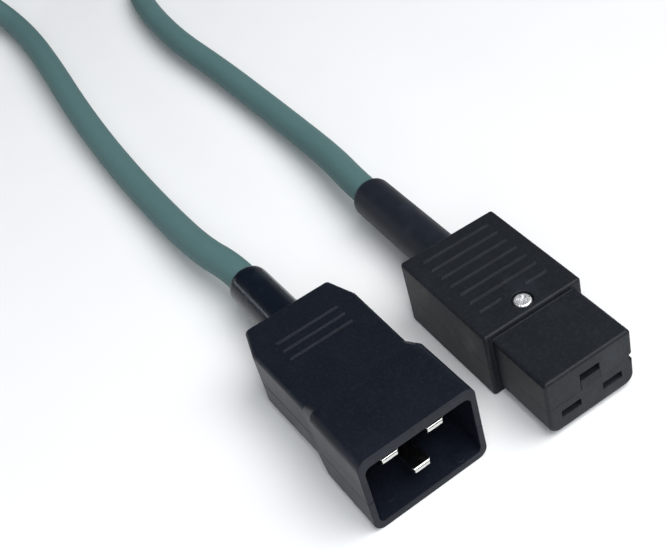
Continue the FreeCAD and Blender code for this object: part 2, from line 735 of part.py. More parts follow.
def clamp_screws(name, middle, seat, tip, side, frame):
    screws = [screw(side * way, middle, seat, tip, d.clamp_screw, d.clamp_head, d.clamp_head_height)
              for way in (-1, 1)]
    return keep(group(screws), name, frame)


def connector_housing_screw():
    seat = d.block_height - d.screw_recess_depth
    tip = d.nut_pocket - d.nut_height
    made = screw(0, screw_place, seat, tip, d.screw_diameter, d.screw_head, d.screw_head_height)
    return keep(made, "c19_housing_screw", connector_frame)


def housing_nut():
    body = new_body("c19_housing_nut")
    sketch = plan(body, d.nut_pocket - d.nut_height)
    reach = d.nut_flats / 2
    tall, short = reach * (2 / ROOT_THREE), reach / ROOT_THREE
    outline(sketch, [(reach, screw_place - short, 0), (reach, screw_place + short, 0),
                     (size(0), screw_place + tall, 0), (-reach, screw_place + short, 0),
                     (-reach, screw_place - short, 0), (size(0), screw_place - tall, 0)])
    pad_up(body, sketch, d.nut_height)
    thread = plan(body, d.nut_pocket)
    circle(thread, 0, screw_place, d.screw_diameter + d.fit_clearance * 2)
    pocket(body, thread, d.nut_height)
    return keep(body, body.Name, connector_frame)


def boot(name, wall_start, shell_end, length, diameter, end_diameter, flange, axis_height, frame):
    """A rubber sleeve whose flange is trapped behind the rear wall; turned about the cord."""
    body = new_body(name)
    sketch = sketch_in(body, "XY_Plane", 0)
    bore = d.cord_diameter / 2 + d.boot_bore_play
    flange_start = wall_start - d.boot_flange_length
    end = shell_end + length
    turn = d.boot_end_round
    lean = turn * d.boot_end_share
    corners = [(bore, flange_start), (flange / 2, flange_start), (flange / 2, wall_start),
               (diameter / 2, wall_start), (diameter / 2, shell_end),
               (end_diameter / 2, end - turn), (end_diameter / 2 - lean, end - lean),
               (end_diameter / 2 - turn, end), (bore, end)]
    outline(sketch, [(x, y, 0) for x, y in corners])
    made = body.newObject("PartDesign::Revolution", name + "_turned")
    made.Profile = sketch
    made.ReferenceAxis = (axis_of(body, "Y_Axis"), [""])
    made.Angle = FULL_CIRCLE
    lift = FreeCAD.Placement(FreeCAD.Vector(0, 0, axis_height.value), FreeCAD.Rotation())
    return keep(body, name, frame.multiply(lift))


def sheath_end(name, start, end, axis_height, frame):
    """The length of cord that the clamp and the boot hold."""
    body = new_body(name)
    sketch = section(body, start)
    circle(sketch, 0, axis_height, d.cord_diameter)
    pad_back(body, sketch, end - start)
    return keep(body, name, frame)


def core(name, turn, start, axis_height, terminal_x, terminal_y, terminal_z, frame):
    """One insulated core from the stripped end of the sheath to its terminal."""
    angle = math.radians(turn)
    x0 = d.core_circle.value * math.cos(angle)
    z0 = axis_height.value + d.core_circle.value * math.sin(angle)
    y0, y1 = start.value, terminal_y.value
    lead = (y0 - y1) * d.core_lead_share.value
    points = [(x0, y0, z0), (x0, y0 - lead, z0), (terminal_x.value, y1 + lead, terminal_z.value),
              (terminal_x.value, y1, terminal_z.value)]
    shape, length = tube(points, d.core_diameter.value, name)
    return keep(solid_feature(shape), name, frame)


# ---------------------------------------------------------------- plug

def plug_half(body, sign):
    """One shell of the plug: hood, flare, body and tail, lofted through five sections."""
    top = sign > 0
    hood_far = hood_height if top else size(0)
    body_far = body_top if top else d.body_floor
    cavity_far = cavity_top if top else d.hood_floor
    chamber_far = chamber_high if top else chamber_low
    stations = [(size(0), hood_width, hood_far, d.hood_corner),
                (d.hood_length, hood_width, hood_far, d.hood_corner),
                (d.waist_start, d.waist_width, body_far, d.body_corner),
                (d.belly_start, d.belly_width, body_far, d.body_corner),
                (d.plug_length, d.tail_width, body_far, d.body_corner)]
    sketches = []
    for y, width, far, corner in stations:
        sketch = section(body, y)
        half_outline(sketch, width / 2, d.plug_seam, far, corner)
        sketches.append(sketch)
    loft = body.newObject("PartDesign::AdditiveLoft", body.Name + "_loft")
    loft.Profile = sketches[0]
    loft.Sections = sketches[1:]
    loft.Ruled = True

    # from the face towards the cord: cavity, window of the carrier, chamber and tail chamber
    window_width = d.carrier_width - d.carrier_lip * 2
    window_far = chamber_far - d.carrier_lip * sign
    rooms = [(size(0), d.cavity_depth, cavity_width, cavity_far, d.cavity_corner),
             (d.cavity_depth, chamber_start, window_width, window_far, d.carrier_corner),
             (chamber_start, d.chamber_end, d.carrier_width, chamber_far, d.carrier_corner),
             (d.chamber_end, plug_tail_wall, d.tail_chamber_width, chamber_far, d.carrier_corner)]
    for start, end, width, far, corner in rooms:
        room = section(body, start)
        half_outline(room, width / 2, d.plug_seam, far, corner)
        pocket(body, room, end - start)
    drill(body, d.rear_wall, plug_tail_wall, 0, d.plug_seam, d.plug_boot_diameter + through)


def plug_upper_shell():
    body = new_body("c20_upper_shell")
    plug_half(body, 1)
    for side in (-1, 1):
        boss = plan(body, d.plug_seam)
        circle(boss, d.plug_screw_side * side, d.plug_screw_place, d.plug_screw_boss)
        pad_up(body, boss, chamber_high - d.plug_seam)
        thread = plan(body, d.plug_seam)
        circle(thread, d.plug_screw_side * side, d.plug_screw_place, d.plug_screw_diameter + through)
        pocket_up(body, thread, (chamber_high - d.plug_seam) * d.plug_thread_share)
    rib_rows(body, d.plug_rib_length / 2, d.plug_rib_start, body_top, d.plug_rib_pitch, d.plug_ribs)
    return keep(body, body.Name, plug_frame)


def plug_lower_shell():
    body = new_body("c20_lower_shell")
    plug_half(body, -1)
    for side in (-1, 1):
        x = d.plug_screw_side * side
        boss = plan(body, chamber_low)
        circle(boss, x, d.plug_screw_place, d.plug_screw_boss)
        pad_up(body, boss, d.plug_seam - chamber_low)
        hole = plan(body, d.plug_seam)
        circle(hole, x, d.plug_screw_place, d.plug_screw_diameter + through)
        pocket(body, hole, d.plug_seam)
        recess = plan(body, d.body_floor)
        circle(recess, x, d.plug_screw_place, d.plug_screw_recess)
        pocket_up(body, recess, d.plug_screw_recess_depth)
    clamp_posts(body, plug_clamp_middle, chamber_low, plug_clamp_seat, d.plug_clamp_screw_side,
                d.plug_clamp_post)
    clamp_saddle(body, plug_clamp_middle, chamber_low, d.plug_seam, d.plug_saddle_width, d.plug_clamp_length)
    # the boot's flange reaches into the floor
    groove = d.boot_flange_length + d.fit_clearance
    drill(body, groove, plug_tail_wall - groove, 0, d.plug_seam, d.plug_boot_flange + through)
    return keep(body, body.Name, plug_frame)


def pin_places():
    side = d.pin_spacing / 2
    return [(-side, d.plug_line_row), (side, d.plug_line_row), (size(0), plug_earth_row)]


def blade_section(body, y, x, z):
    """The flat section of a pin."""
    sketch = section(body, y)
    half_width, half_thickness = d.pin_width / 2, d.pin_thickness / 2
    rectangle(sketch, x - half_width, z - half_thickness, x + half_width, z + half_thickness)
    return sketch


def pin_carrier():
    """The block that holds the three pins, trapped behind the floor of the hood."""
    body = new_body("c20_pin_carrier")
    play = d.fit_clearance
    steps = [(chamber_start, d.carrier_length, play),
             (d.cavity_depth, d.carrier_lip_depth, d.carrier_lip + play)]
    for start, length, inset in steps:
        step = section(body, start)
        half = d.carrier_width / 2 - inset
        rectangle(step, -half, chamber_low + inset, half, chamber_high - inset, d.carrier_corner)
        pad_back(body, step, length)
    for x, z in pin_places():
        pocket(body, blade_section(body, d.cavity_depth, x, z), d.carrier_lip_depth + d.carrier_length)
    return keep(body, body.Name, plug_frame)


def pin(name, x, z, setback):
    """A flat pin with bevelled edges at its tip and a terminal block behind the carrier."""
    body = new_body(name)
    length = plug_terminal_start + d.contact_strip - setback
    blade = pad_back(body, blade_section(body, setback, x, z), length)
    dress(body, "Chamfer", blade, lambda box: level_with(box, "y", setback), d.pin_tip_chamfer)
    block = section(body, plug_terminal_start)
    half, tall = d.contact_width / 2, d.terminal_height / 2
    rectangle(block, x - half, z - tall, x + half, z + tall)
    pad_back(body, block, d.terminal_length)
    bore = section(body, plug_terminal_start + d.contact_strip)
    circle(bore, x, z, terminal_bore)
    pocket(body, bore, d.terminal_length - d.contact_strip)
    hole = plan(body, z)
    circle(hole, x, plug_terminal_start + d.terminal_length / 2, d.terminal_screw + through)
    pocket_up(body, hole, tall)
    return keep(body, name, plug_frame)


def plug_housing_screws():
    seat = d.body_floor + d.plug_screw_recess_depth
    tip = d.plug_seam + (chamber_high - d.plug_seam) * d.plug_screw_share
    screws = [screw(d.plug_screw_side * side, d.plug_screw_place, seat, tip, d.plug_screw_diameter,
                    d.plug_screw_head, d.terminal_head_height) for side in (-1, 1)]
    return keep(group(screws), "c20_housing_screws", plug_frame)


# ---------------------------------------------------------------- cord, coil and tie

def world(frame, x, y, z):
    return tuple(frame.multVec(FreeCAD.Vector(x, y, z)))


def coil_places():
    """Mean radius of the coil and the heights of its bottom turns and of its top half turn."""
    radius = d.coil_mean_diameter / 2
    bottom = d.tie_thickness + d.cord_diameter / 2
    top = bottom + d.turn_pitch + d.nest_rise
    return radius.value, bottom.value, top.value


def connector_cord():
    """From the connector's boot, nearly straight, to the coil's bottom turn."""
    radius, bottom, top = coil_places()
    entry_x = d.coil_x.value + radius + d.turn_pitch.value / 2
    entry_y = (d.coil_y - d.coil_lead).value
    end, height = connector_end.value, seam.value
    leaving = [world(connector_frame, 0, end + lead, height) for lead in CONNECTOR_LEADS]
    entering = [(entry_x, entry_y - COIL_APPROACH, bottom), (entry_x, entry_y, bottom)]
    return leaving + CONNECTOR_ROUTE + entering


def plug_cord():
    """From the plug's boot to the half turn on top of the coil."""
    radius, bottom, top = coil_places()
    exit_x = d.coil_x.value - radius
    exit_y = (d.coil_y - d.coil_lead).value
    end, height = plug_end.value, d.plug_seam.value
    leaving = [world(plug_frame, 0, end + lead, height) for lead in PLUG_LEADS]
    return leaving + PLUG_ROUTE + [(exit_x, exit_y - COIL_APPROACH, top), (exit_x, exit_y, top)]


def coiled_cord():
    """The outer shape of the coil: two by two turns, a half turn nested on top and both leads."""
    radius, bottom, top = coil_places()
    lie, pitch = d.cord_diameter.value / 2, d.turn_pitch.value
    low, high = bottom - lie, bottom + pitch + lie
    inner, outer = radius - pitch / 2 - lie, radius + pitch / 2 + lie
    corners = ((inner, low), (outer, low), (outer, high), (inner, high), (inner, low))
    flat = Part.makePolygon([FreeCAD.Vector(x, 0, z) for x, z in corners])
    ring = Part.Face(flat).revolve(FreeCAD.Vector(), AXES["z"], FULL_CIRCLE)
    rims = [edge for edge in ring.Edges if isinstance(edge.Curve, Part.Circle)]
    ring = ring.makeFillet(d.coil_rim.value, rims)
    half_turn = Part.makeTorus(radius, lie, FreeCAD.Vector(0, 0, top), AXES["z"], 0, FULL_CIRCLE,
                               d.coil_arc.value)
    half_turn.rotate(FreeCAD.Vector(), AXES["z"], HALF_CIRCLE - d.coil_arc.value)
    lead = d.coil_lead.value
    towards_ends = FreeCAD.Vector(0, -1, 0)
    way_in = Part.makeCylinder(lie, lead, FreeCAD.Vector(radius + pitch / 2, 0, bottom), towards_ends)
    way_out = Part.makeCylinder(lie, lead, FreeCAD.Vector(-radius, 0, top), towards_ends)
    whole = ring.multiFuse([half_turn, way_in, way_out]).removeSplitter()
    return whole.Solids[0]


def coil_tie():
    """A strap round the bundle at the far side of the coil."""
    body = new_body("coil_tie")
    play, thick = d.tie_play, d.tie_thickness
    lie = d.cord_diameter / 2
    near = d.coil_mean_diameter / 2 - d.turn_pitch / 2 - lie - play
    far = d.coil_mean_diameter / 2 + d.turn_pitch / 2 + lie + d.fit_clearance
    low = thick
    high = thick + d.cord_diameter + d.turn_pitch + d.nest_rise + d.fit_clearance
    around = sketch_in(body, "YZ_Plane", -(d.tie_width / 2))
    rectangle(around, near - thick, 0, far + thick, high + thick, thick * 2)
    pad_up(body, around, d.tie_width)
    bundle = sketch_in(body, "YZ_Plane", d.tie_width / 2)
    rectangle(bundle, near, low, far, high, thick)
    pocket(body, bundle, d.tie_width)
    return keep(body, body.Name, coil_frame)


# ---------------------------------------------------------------- build

def build_connector():
    connector_upper_shell()
    connector_lower_shell()
    insulator()
    side = d.pin_spacing / 2
    line_contact("c19_line_contact", -1)
    line_contact("c19_neutral_contact", 1)
    earth_contact()
    terminals = {
        "line": (-side, d.line_terminal_start, line_contact_floor, d.terminal_height),
        "neutral": (side, d.line_terminal_start, line_contact_floor, d.terminal_height),
        "earth": (d.earth_terminal_side, d.earth_terminal_start, earth_contact_floor, earth_terminal_height)}
    terminal_screws("c19_terminal_screws", terminals.values(), connector_frame)
    clamp_bar("c19_clamp_bar", clamp_middle, clamp_seat, seam, d.clamp_bar_width, d.clamp_length,
              clamp_height, d.clamp_screw_side, connector_frame)
    clamp_screws("c19_clamp_screws", clamp_middle, clamp_seat + clamp_height,
                 d.side_wall + d.clamp_screw_stop, d.clamp_screw_side, connector_frame)
    connector_housing_screw()
    housing_nut()
    boot("c19_boot", cavity_end, block_rear, d.boot_length, d.boot_diameter, d.boot_end_diameter,
         d.boot_flange, seam, connector_frame)
    sheath_end("c19_sheath_end", sheath_start, connector_end, seam, connector_frame)
    for title, (x, start, floor, height) in terminals.items():
        core("c19_%s_core" % title, CORE_TURNS[title], sheath_start, seam, x, start + d.terminal_length,
             floor + height / 2, connector_frame)


def build_plug():
    plug_upper_shell()
    plug_lower_shell()
    pin_carrier()
    titles = ("line", "neutral", "earth")
    places = dict(zip(titles, pin_places()))
    setbacks = dict(zip(titles, (d.pin_setback, d.pin_setback, d.earth_pin_setback)))
    for title in titles:
        pin("c20_%s_pin" % title, *places[title], setbacks[title])
    terminals = [(x, plug_terminal_start, z - d.terminal_height / 2, d.terminal_height)
                 for x, z in places.values()]
    terminal_screws("c20_terminal_screws", terminals, plug_frame)
    clamp_bar("c20_clamp_bar", plug_clamp_middle, plug_clamp_seat, d.plug_seam, d.plug_clamp_bar_width,
              d.plug_clamp_length, plug_clamp_height, d.plug_clamp_screw_side, plug_frame)
    clamp_screws("c20_clamp_screws", plug_clamp_middle, plug_clamp_seat + plug_clamp_height,
                 chamber_low + d.plug_clamp_screw_stop, d.plug_clamp_screw_side, plug_frame)
    plug_housing_screws()
    boot("c20_boot", plug_tail_wall, d.plug_length, d.plug_boot_length, d.plug_boot_diameter,
         d.plug_boot_end_diameter, d.plug_boot_flange, d.plug_seam, plug_frame)
    sheath_end("c20_sheath_end", plug_sheath_start, plug_end, d.plug_seam, plug_frame)
    for title, (x, z) in places.items():
        core("c20_%s_core" % title, PLUG_CORE_TURNS[title], plug_sheath_start, d.plug_seam, x,
             plug_terminal_start + d.terminal_length, z, plug_frame)


def build_cord():
    still = FreeCAD.Placement()
    near, near_length = tube(connector_cord(), d.cord_diameter.value, "connector_cord")
    far, far_length = tube(plug_cord(), d.cord_diameter.value, "plug_cord")
    keep(solid_feature(near), "connector_cord", still)
    keep(solid_feature(coiled_cord()), "coiled_cord", coil_frame)
    keep(solid_feature(far), "plug_cord", still)
    coil_tie()
    turns = d.coil_turns.value * math.pi * d.coil_mean_diameter.value + 2 * d.coil_lead.value
    held = (connector_end - sheath_start + plug_end - plug_sheath_start).value
    print("cord length %.0f (free %.0f and %.0f, coiled %.0f, held in the housings %.0f)"
          % (near_length + far_length + turns + held, near_length, far_length, turns, held))


def check_and_write():
    doc.recompute()
    for thing in doc.Objects:
        if "Invalid" in thing.State or "Error" in thing.State:
            raise ValueError("%s has failed: %s" % (thing.Label, thing.State))
        if thing.isDerivedFrom("PartDesign::Pocket"):
            removed = thing.BaseFeature.Shape.Volume - thing.Shape.Volume
            if removed < LEAST_CUT:
                raise ValueError("%s cuts nothing" % thing.Name)
    os.makedirs("parts", exist_ok=True)
    for piece in pieces:
        shape = piece.Shape
        if shape.isNull() or not shape.isValid():
            raise ValueError("%s has no valid shape" % piece.Label)
        if not shape.Solids:
            raise ValueError("%s has no solid" % piece.Label)
        print("%-22s solids %d  volume %9.2f" % (piece.Label, len(shape.Solids), shape.Volume))
        shape.exportStep("parts/%s.step" % piece.Label)


build_connector()
build_plug()
build_cord()
check_and_write()
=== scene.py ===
"""Looks of a C19 connector, its sheathed lead and the C20 plug at the far end of it.

The solids give every place and size; this file gives them rounded edges, finishes and light.
Lengths are in metres, except in routes, places and patterns, which are in millimetres.
"""

import json
import math

import bmesh
import bpy
from mathutils import Matrix, Vector
from mathutils.bvhtree import BVHTree

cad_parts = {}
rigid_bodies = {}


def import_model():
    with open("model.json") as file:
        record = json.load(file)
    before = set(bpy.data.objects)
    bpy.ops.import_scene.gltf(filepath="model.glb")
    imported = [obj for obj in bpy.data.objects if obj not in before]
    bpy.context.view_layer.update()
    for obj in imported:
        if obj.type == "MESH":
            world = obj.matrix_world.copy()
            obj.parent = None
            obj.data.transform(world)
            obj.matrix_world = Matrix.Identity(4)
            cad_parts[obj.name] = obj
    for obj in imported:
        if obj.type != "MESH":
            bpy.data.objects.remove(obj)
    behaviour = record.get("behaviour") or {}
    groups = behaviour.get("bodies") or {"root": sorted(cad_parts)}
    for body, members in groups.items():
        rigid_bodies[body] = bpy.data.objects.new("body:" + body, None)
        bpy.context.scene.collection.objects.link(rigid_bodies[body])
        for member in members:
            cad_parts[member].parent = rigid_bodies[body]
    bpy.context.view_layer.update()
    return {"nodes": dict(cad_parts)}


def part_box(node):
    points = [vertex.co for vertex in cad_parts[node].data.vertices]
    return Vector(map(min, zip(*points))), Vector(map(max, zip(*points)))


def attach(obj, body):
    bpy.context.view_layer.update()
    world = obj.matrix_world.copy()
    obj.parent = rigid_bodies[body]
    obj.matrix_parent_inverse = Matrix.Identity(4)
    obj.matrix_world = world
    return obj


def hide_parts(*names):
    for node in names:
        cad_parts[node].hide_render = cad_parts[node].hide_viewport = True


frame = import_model()
nodes = frame["nodes"]

MM = 0.001
FULL_TURN = 2 * math.pi
# where the cord leaves the two boots
CONNECTOR_EXIT = (0, 51.1, 9.99)
PLUG_EXIT = (-46.509, 42.955, 10.6)
# the middle of the plug's face on the ground, and how far the plug is turned
PLUG_PLACE, PLUG_YAW = (-43.7, -44.0, 0.0), math.radians(1.85)


def linked(name, data):
    """Puts a new object of this data in the scene."""
    made = bpy.data.objects.new(name, data)
    bpy.context.scene.collection.objects.link(made)
    return made


def linked_mesh(name, shape, material, normals=None):
    """Puts a finished shape in the scene, with its own corner normals where it has them."""
    mesh = bpy.data.meshes.new(name)
    shape.to_mesh(mesh)
    shape.free()
    if normals:
        mesh.normals_split_custom_set(normals)
    mesh.materials.append(material)
    return linked(name, mesh)


# ---------------------------------------------------------------- camera

VIEW_AZIMUTH, VIEW_ELEVATION, VIEW_ROLL = (
    math.radians(angle) for angle in (-27.8728, 38.9612, -11.6233))
CAMERA_PLACE = Vector((-107.6453, -202.5956, 222.2086)) * MM
CAMERA_LENS, CAMERA_SENSOR = 62.16, 36.0
CAMERA_SHIFT = (-0.1773, -0.1102)
CAMERA_NEAR, CAMERA_FAR = 0.01, 20.0


def make_camera():
    data = bpy.data.cameras.new("camera")
    data.lens, data.sensor_width = CAMERA_LENS, CAMERA_SENSOR
    data.shift_x, data.shift_y = CAMERA_SHIFT
    data.clip_start, data.clip_end = CAMERA_NEAR, CAMERA_FAR
    camera = linked("camera", data)
    turned = (Matrix.Rotation(VIEW_AZIMUTH, 4, "Z")
              @ Matrix.Rotation(math.pi / 2 - VIEW_ELEVATION, 4, "X")
              @ Matrix.Rotation(VIEW_ROLL, 4, "Z"))
    camera.matrix_world = Matrix.Translation(CAMERA_PLACE) @ turned
    bpy.context.scene.camera = camera


make_camera()


# ---------------------------------------------------------------- shader maths

# 1 in the middle of a rounded edge, -1 in the middle of a joint between shells, 0 on faces
EDGE_FIELD = "edge"
ATTRIBUTE_NUMBER = 2


class Field:
    """A socket of a finish; arithmetic on it adds Math nodes."""

    def __init__(self, finish, socket):
        self.finish, self.socket = finish, socket

    def maths(self, operation, *terms):
        return self.finish.node("ShaderNodeMath", {"operation": operation}, *terms)

    def __add__(self, other):
        return self.maths("ADD", self, other)

    __radd__ = __add__

    def __sub__(self, other):
        return self.maths("SUBTRACT", self, other)

    def __rsub__(self, other):
        return self.maths("SUBTRACT", other, self)

    def __mul__(self, other):
        return self.maths("MULTIPLY", self, other)

    def sine(self):
        return self.maths("SINE", self)

    def limited(self):
        """Cut to between 0 and 1."""
        return self.finish.node("ShaderNodeClamp", {}, self)

    def stepped(self, low, high):
        """0 below low, 1 above high and smooth between."""
        return self.finish.node("ShaderNodeMapRange", {"interpolation_type": "SMOOTHSTEP"},
                                self, low, high, 0.0, 1.0)


class Finish:
    """A procedural material; lengths in its patterns are in millimetres."""

    def __init__(self, name, roughness=0.5, metallic=0.0, ior=1.5):
        self.material = bpy.data.materials.new(name)
        self.material.use_nodes = True
        self.tree = self.material.node_tree
        self.shader = self.tree.nodes["Principled BSDF"]
        self.put(Roughness=roughness, Metallic=metallic, IOR=ior)
        place = self.node("ShaderNodeTexCoord", {}, output="Object")
        self.place = self.node("ShaderNodeVectorMath", {"operation": "SCALE"}, place, Scale=1 / MM)

    def node(self, kind, settings, *values, output=0, **named):
        """Adds a node: its settings first, then its sockets by order or by name."""
        made = self.tree.nodes.new(kind)
        for key, value in settings.items():
            setattr(made, key, value)
        for socket, value in zip(made.inputs, values):
            self.feed(socket, value)
        for key, value in named.items():
            self.feed(made.inputs[key.replace("_", " ")], value)
        return Field(self, made.outputs[output])

    def feed(self, socket, value):
        """Gives a socket a field, a colour or a plain value."""
        if isinstance(value, Field):
            self.tree.links.new(value.socket, socket)
        elif socket.type == "RGBA":
            socket.default_value = (*value, 1.0)
        else:
            socket.default_value = value

    def put(self, **sockets):
        """Feeds the shader's own sockets."""
        for key, value in sockets.items():
            self.feed(self.shader.inputs[key.replace("_", " ")], value)

    def noise(self, size, detail=2.0, roughness=0.5, place=None, distortion=0.0):
        """Soft noise with features of that size."""
        return self.node("ShaderNodeTexNoise", {}, Vector=place or self.place, Scale=1 / size,
                         Detail=detail, Roughness=roughness, Distortion=distortion)

    def cells(self, size):
        """The distance from the middle of cells of that size."""
        return self.node("ShaderNodeTexVoronoi", {}, Vector=self.place, Scale=1 / size)

    def streaks(self, lengths, detail, roughness):
        """Noise whose features have these lengths along the axes."""
        place = self.node("ShaderNodeVectorMath", {"operation": "DIVIDE"}, self.place, lengths)
        return self.noise(1.0, detail, roughness, place)

    def along(self, axis):
        """How far along an axis a point lies."""
        return self.node("ShaderNodeSeparateXYZ", {}, self.place, output=axis)

    def mix(self, share, first, second):
        """A colour between two."""
        made = self.tree.nodes.new("ShaderNodeMix")
        made.data_type = "RGBA"
        for key, value in (("Factor_Float", share), ("A_Color", first), ("B_Color", second)):
            self.feed(next(s for s in made.inputs if s.identifier == key), value)
        return Field(self, next(s for s in made.outputs if s.identifier == "Result_Color"))

    def edge_field(self):
        return self.node("ShaderNodeAttribute", {"attribute_name": EDGE_FIELD},
                         output=ATTRIBUTE_NUMBER)

    def edges(self):
        """1 along the rounded edges of a piece and 0 on its faces."""
        return self.edge_field().limited()

    def grooves(self):
        """1 along the joint between two shells."""
        return (0.0 - self.edge_field()).limited()

    def bump(self, height, depth):
        """Raises the surface by height times depth millimetres."""
        bump = self.node("ShaderNodeBump", {}, Strength=1.0, Distance=depth * MM, Height=height)
        self.put(Normal=bump)


# ---------------------------------------------------------------- finishes

# the joints between shells are gaps that hardly any light comes out of
JOINT_COLOUR, JOINT_ROUGHNESS = (0.0006, 0.0006, 0.0007), 0.5
JOINT_START, JOINT_FULL = 0.02, 0.4
PLASTIC_GLOSS, SHEATH_GLOSS = 0.19, 0.1
SPECKLE_SHARE, HANDLED_SHARE, SPECK_SHARE = 0.45, 0.2, 0.5
PLASTIC_RELIEF, RUBBER_RELIEF, SHEATH_RELIEF = 0.024, 0.012, 0.03
CORE_RELIEF, STRAP_RELIEF = 0.01, 0.12
WEFT_PITCH, WARP_PITCH = 0.7, 0.9


def shade(colour, factor, lift=0.0):
    """A colour made darker or lighter."""
    return tuple(min(1.0, share * factor + lift) for share in colour)


def moulded_plastic(name, colour, roughness, grain, scuffs):
    """Black moulded thermoplastic: spark-eroded grain, flow marks, rubbed patches and dust."""
    finish = Finish(name, ior=1.48)
    fine = finish.noise(grain, 3.0, 0.6)
    cells = finish.cells(grain * 1.6)
    flow = finish.noise(9.0, 4.0, 0.55, distortion=0.6)
    rubbed = finish.noise(14.0, 5.0, 0.62).stepped(0.52, 0.74)
    scratch = finish.streaks((0.35, 4.0, 0.35), 3.0, 0.6).stepped(0.62, 0.78)
    specks = (1 - finish.cells(1.7).stepped(0.02, 0.09)) * finish.noise(6.0).stepped(0.45, 0.7)
    speckle = finish.noise(0.9, 4.0, 0.75).stepped(0.48, 0.66)
    handled = finish.edges() * finish.noise(1.3, 4.0, 0.65).stepped(0.4, 0.66)
    joint = finish.grooves().stepped(JOINT_START, JOINT_FULL)
    dusty = shade(colour, 3.0, 0.012)
    skin = finish.mix(flow, shade(colour, 0.82), shade(colour, 1.22))
    skin = finish.mix(speckle * SPECKLE_SHARE, skin, shade(colour, 2.2))
    skin = finish.mix((rubbed * 0.5 + scratch * 0.35) * scuffs, skin, shade(colour, 2.1, 0.004))
    skin = finish.mix(handled * HANDLED_SHARE, skin, dusty)
    skin = finish.mix(specks * SPECK_SHARE * scuffs, skin, dusty)
    finish.put(Base_Color=finish.mix(joint, skin, JOINT_COLOUR), Specular_IOR_Level=PLASTIC_GLOSS)
    finish.put(Roughness=(roughness + (flow - 0.5) * 0.12 + (fine - 0.5) * 0.1 - rubbed * 0.07
                          - handled * 0.08 + joint * JOINT_ROUGHNESS).limited())
    finish.bump(fine * 0.6 + cells * 0.5 + speckle * 0.4 + scratch * 0.1 * scuffs, PLASTIC_RELIEF)
    return finish.material


def rubber(name, colour, roughness, gloss):
    """Flexible PVC with fine draw marks round it and rubbed ends."""
    finish = Finish(name)
    draw = finish.streaks((5.0, 0.35, 5.0), 3.0, 0.6)
    mottled = finish.noise(3.5, 4.0, 0.6)
    smear = finish.noise(7.0, 3.0).stepped(0.5, 0.72)
    rubbed = (smear * 0.35 + finish.edges() * mottled.stepped(0.42, 0.6) * 0.5).limited()
    skin = finish.mix(mottled, shade(colour, 0.8), shade(colour, 1.3))
    finish.put(Base_Color=finish.mix(rubbed, skin, shade(colour, 1.9, 0.003)),
               Specular_IOR_Level=gloss)
    finish.put(Roughness=(roughness + mottled * 0.08 + smear * 0.08).limited())
    finish.bump(draw * 0.8 + mottled * 0.3, RUBBER_RELIEF)
    return finish.material


def sheath(name, colour):
    """Extruded PVC: slow colour drift, mottling, scuffs along it and grime."""
    finish = Finish(name, ior=1.47)
    drift = finish.noise(22.0, 3.0)
    mottle = finish.noise(2.4, 4.0, 0.62)
    scuff = finish.streaks((2.2, 7.0, 2.2), 4.0, 0.65).stepped(0.56, 0.78)
    grime = finish.noise(5.0, 5.0, 0.7).stepped(0.55, 0.8)
    fine = finish.noise(0.3, 2.0, 0.6)
    skin = finish.mix(drift, shade(colour, 0.93), shade(colour, 1.07))
    skin = finish.mix(mottle * 0.25, skin, shade(colour, 0.85))
    skin = finish.mix(scuff * 0.22, skin, shade(colour, 1.25, 0.02))
    finish.put(Base_Color=finish.mix(grime * 0.25, skin, shade(colour, 0.55)),
               Specular_IOR_Level=SHEATH_GLOSS)
    finish.put(Roughness=(0.5 + mottle * 0.1 + scuff * 0.12 - grime * 0.05).limited())
    finish.bump(mottle * 0.7 + fine * 0.3 + scuff * 0.3, SHEATH_RELIEF)
    return finish.material


def bright_metal(name, colour, roughness, grain=(0.12, 3.0, 0.12), tarnish=0.25, relief=0.003):
    """Plated metal with fine draw lines, small pits and a little tarnish."""
    finish = Finish(name, metallic=1.0)
    lines = finish.streaks(grain, 3.0, 0.65)
    cloud = finish.noise(1.6, 4.0, 0.6)
    dull = cloud.stepped(0.5, 0.75)
    polished = finish.edges() * cloud.stepped(0.35, 0.6)
    skin = finish.mix(lines, shade(colour, 0.86), colour)
    skin = finish.mix(dull * tarnish, skin, shade(colour, 0.55))
    finish.put(Base_Color=finish.mix(polished * 0.6, skin, shade(colour, 1.15)))
    finish.put(Roughness=(roughness + lines * 0.08 + dull * 0.1 - polished * 0.05).limited())
    finish.bump(lines + cloud * 0.4, relief)
    return finish.material


def core_skin(name, colour):
    """Thin glossy insulation."""
    finish = Finish(name)
    mottle = finish.noise(1.2, 3.0, 0.6)
    finish.put(Base_Color=finish.mix(mottle, shade(colour, 0.85), colour))
    finish.put(Roughness=0.32 + mottle * 0.14)
    finish.bump(mottle, CORE_RELIEF)
    return finish.material


def woven_strap(name, colour):
    """Woven hook-and-loop strap."""
    finish = Finish(name)
    weft = (finish.along(0) * (FULL_TURN / WEFT_PITCH)).sine()
    warp = ((finish.along(1) + finish.along(2)) * (FULL_TURN / WARP_PITCH)).sine()
    weave = (weft * warp) * 0.5 + 0.5
    fuzz = finish.noise(0.4, 4.0, 0.7)
    finish.put(Base_Color=finish.mix(weave * 0.6 + fuzz * 0.4, shade(colour, 0.6),
                                     shade(colour, 1.6, 0.004)))
    finish.put(Roughness=0.78 + fuzz * 0.15)
    finish.bump(weave * 0.7 + fuzz * 0.5, STRAP_RELIEF)
    return finish.material


